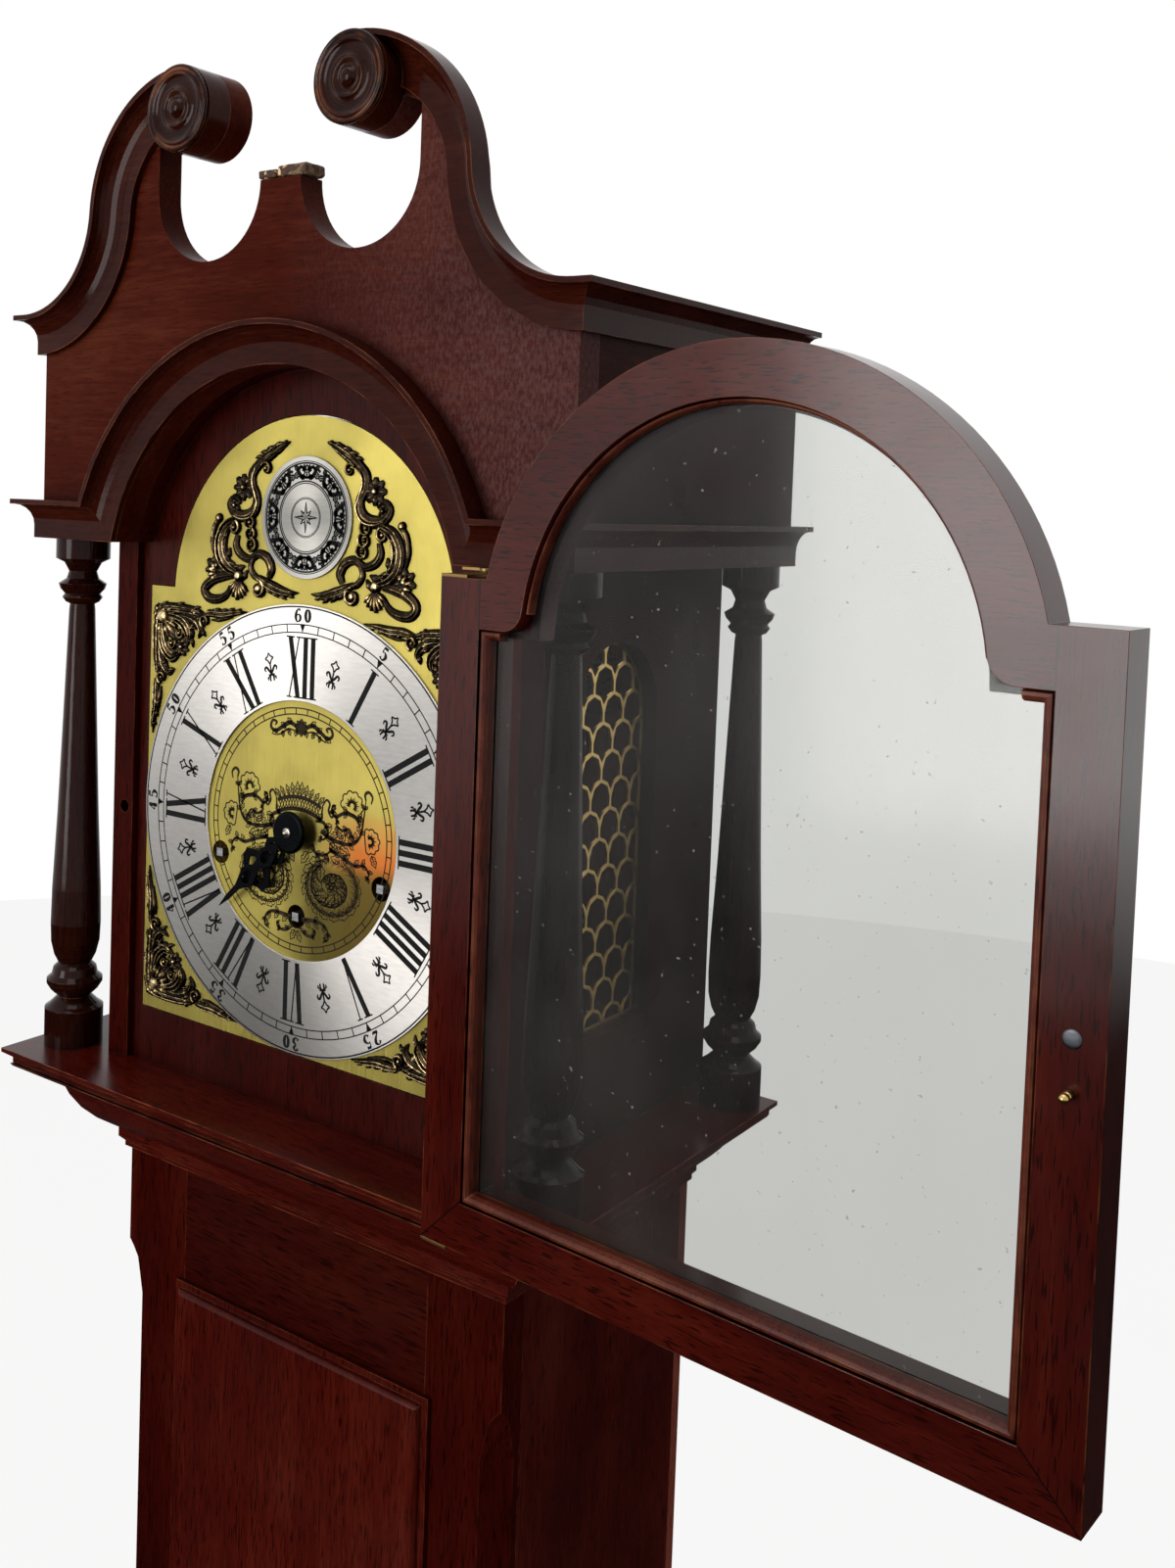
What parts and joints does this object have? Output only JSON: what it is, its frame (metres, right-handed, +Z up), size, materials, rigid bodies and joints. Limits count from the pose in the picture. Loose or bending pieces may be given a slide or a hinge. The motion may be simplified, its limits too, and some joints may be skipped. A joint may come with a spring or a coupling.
{
  "type": "longcase clock",
  "caption": "Tall wooden longcase clock with a swan-neck hood on turned columns, its arched glazed hood door open on a brass break-arch dial with pierced hands.",
  "frame": {"origin": "on the floor under the middle of the base, midway between its front and back", "axes": "+Z up; the dial faces -Y; +X to the viewer's right"},
  "size_m": [0.74, 0.3215, 2.0825],
  "materials": {
    "mahogany": "dark red-brown polish",
    "plain_wood": "unpolished",
    "brass": "polished and lacquered",
    "cast_brass": "antiqued casting",
    "silvered": "silvered",
    "black_steel": "blackened",
    "steel": "bright",
    "glass": "clear"
  },
  "bodies": {
    "case": {"base_front": "mahogany", "base_side_left": "mahogany", "base_side_right": "mahogany", "base_board": "plain_wood", "skirting": "mahogany", "base_moulding": "mahogany", "trunk_side_left": "mahogany", "trunk_side_right": "mahogany", "corner_post_left": "mahogany", "corner_post_right": "mahogany", "rail_top": "mahogany", "rail_bottom": "mahogany", "backboard": "plain_wood", "throat_moulding": "mahogany", "seat_board": "plain_wood", "dial_plate": "brass", "chapter_ring": "silvered", "arch_boss": "silvered", "spandrels": "cast_brass", "movement_frame": "brass", "chime_rods": "steel", "side_barrels": "brass"},
    "trunk_door": {"trunk_door": "mahogany", "trunk_door_fittings": "brass"},
    "hood": {"hood_base": "mahogany", "hood_side_left": "mahogany", "hood_side_right": "mahogany", "side_frets": "brass", "tympanum": "mahogany", "hood_jambs": "mahogany", "dial_mask": "mahogany", "lower_cornice": "mahogany", "swan_neck_left": "mahogany", "swan_neck_right": "mahogany", "plinth_cap": "mahogany", "hood_roof": "plain_wood", "column_front_left": "mahogany", "column_front_right": "mahogany", "column_rear_left": "mahogany", "column_rear_right": "mahogany", "hinge_brackets": "brass"},
    "hood_door": {"hood_door": "mahogany", "hood_door_glass": "glass", "hood_door_fittings": "brass"},
    "ring_pull": {"ring_pull": "brass"},
    "minute": {"minute_hand": "black_steel", "centre_wheel": "brass"},
    "hour": {"hour_hand": "black_steel", "hour_wheel": "brass"},
    "minute_wheel": {"minute_wheel": "brass"},
    "third": {"third_wheel": "brass"},
    "escape": {"escape_wheel": "brass"},
    "going": {"going_barrel": "brass"},
    "winder_left": {"winding_arbor_left": "steel"},
    "winder_centre": {"winding_arbor_centre": "steel"},
    "winder_right": {"winding_arbor_right": "steel"},
    "pendulum": {"pendulum_rod": "steel", "pendulum_bob": "brass"},
    "pallets": {"pallets": "steel"},
    "hammers": {"chime_hammers": "steel"}
  },
  "joints": [
    {"name": "trunk_door_hinge", "type": "hinge", "parent": "case", "child": "trunk_door", "pos_m": [0.1126, -0.0909, 0.96], "axis": [0, 0, 1], "range_deg": [0, 110]},
    {"name": "hood_slide", "type": "slide", "parent": "case", "child": "hood", "axis": [0, -1, 0], "range_m": [0, 0.27]},
    {"name": "hood_door_hinge", "type": "hinge", "parent": "hood", "child": "hood_door", "pos_m": [0.17, -0.1395, 1.62], "axis": [0, 0, 1], "range_deg": [-176, 0]},
    {"name": "ring_pull_swing", "type": "hinge", "parent": "hood_door", "child": "ring_pull", "pos_m": [0.49561, -0.17079, 1.628], "axis": [0.9976, -0.0698, 0], "range_deg": [0, 95]},
    {"name": "minute_spin", "type": "hinge", "parent": "case", "child": "minute", "pos_m": [0, -0.05, 1.62], "axis": [0, 1, 0], "continuous": true},
    {"name": "hour_spin", "type": "hinge", "parent": "case", "child": "hour", "pos_m": [0, -0.05, 1.62], "axis": [0, 1, 0], "continuous": true},
    {"name": "minute_wheel_spin", "type": "hinge", "parent": "case", "child": "minute_wheel", "pos_m": [0.019, -0.05, 1.62], "axis": [0, 1, 0], "continuous": true},
    {"name": "third_spin", "type": "hinge", "parent": "case", "child": "third", "pos_m": [0.01652, -0.05, 1.64857], "axis": [0, 1, 0], "continuous": true},
    {"name": "escape_spin", "type": "hinge", "parent": "case", "child": "escape", "pos_m": [0, -0.05, 1.6724], "axis": [0, 1, 0], "continuous": true},
    {"name": "going_spin", "type": "hinge", "parent": "case", "child": "going", "pos_m": [0, -0.05, 1.5663], "axis": [0, 1, 0], "continuous": true},
    {"name": "wind_left", "type": "hinge", "parent": "case", "child": "winder_left", "pos_m": [-0.068, -0.09, 1.5955], "axis": [0, 1, 0], "range_deg": [0, 2520]},
    {"name": "wind_centre", "type": "hinge", "parent": "case", "child": "winder_centre", "pos_m": [0, -0.09, 1.5663], "axis": [0, 1, 0], "range_deg": [0, 2520]},
    {"name": "wind_right", "type": "hinge", "parent": "case", "child": "winder_right", "pos_m": [0.068, -0.09, 1.5955], "axis": [0, 1, 0], "range_deg": [0, 2520]},
    {"name": "pendulum_swing", "type": "hinge", "parent": "case", "child": "pendulum", "pos_m": [0, 0.006, 1.697], "axis": [0, 1, 0], "range_deg": [-3, 3]},
    {"name": "pallet_rock", "type": "hinge", "parent": "case", "child": "pallets", "pos_m": [0, -0.03, 1.697], "axis": [0, 1, 0], "range_deg": [-3, 3]},
    {"name": "hammer_lift", "type": "hinge", "parent": "case", "child": "hammers", "pos_m": [0.062, 0.046, 1.658], "axis": [1, 0, 0], "range_deg": [0, 20]}
  ],
  "couplings": [
    {"joint": "hour_spin", "follows": "minute_spin", "ratio": 0.083333},
    {"joint": "minute_wheel_spin", "follows": "minute_spin", "ratio": -0.33333},
    {"joint": "third_spin", "follows": "minute_spin", "ratio": -7.5},
    {"joint": "escape_spin", "follows": "minute_spin", "ratio": 60},
    {"joint": "going_spin", "follows": "minute_spin", "ratio": -0.2},
    {"joint": "pallet_rock", "follows": "pendulum_swing", "ratio": 1}
  ]
}
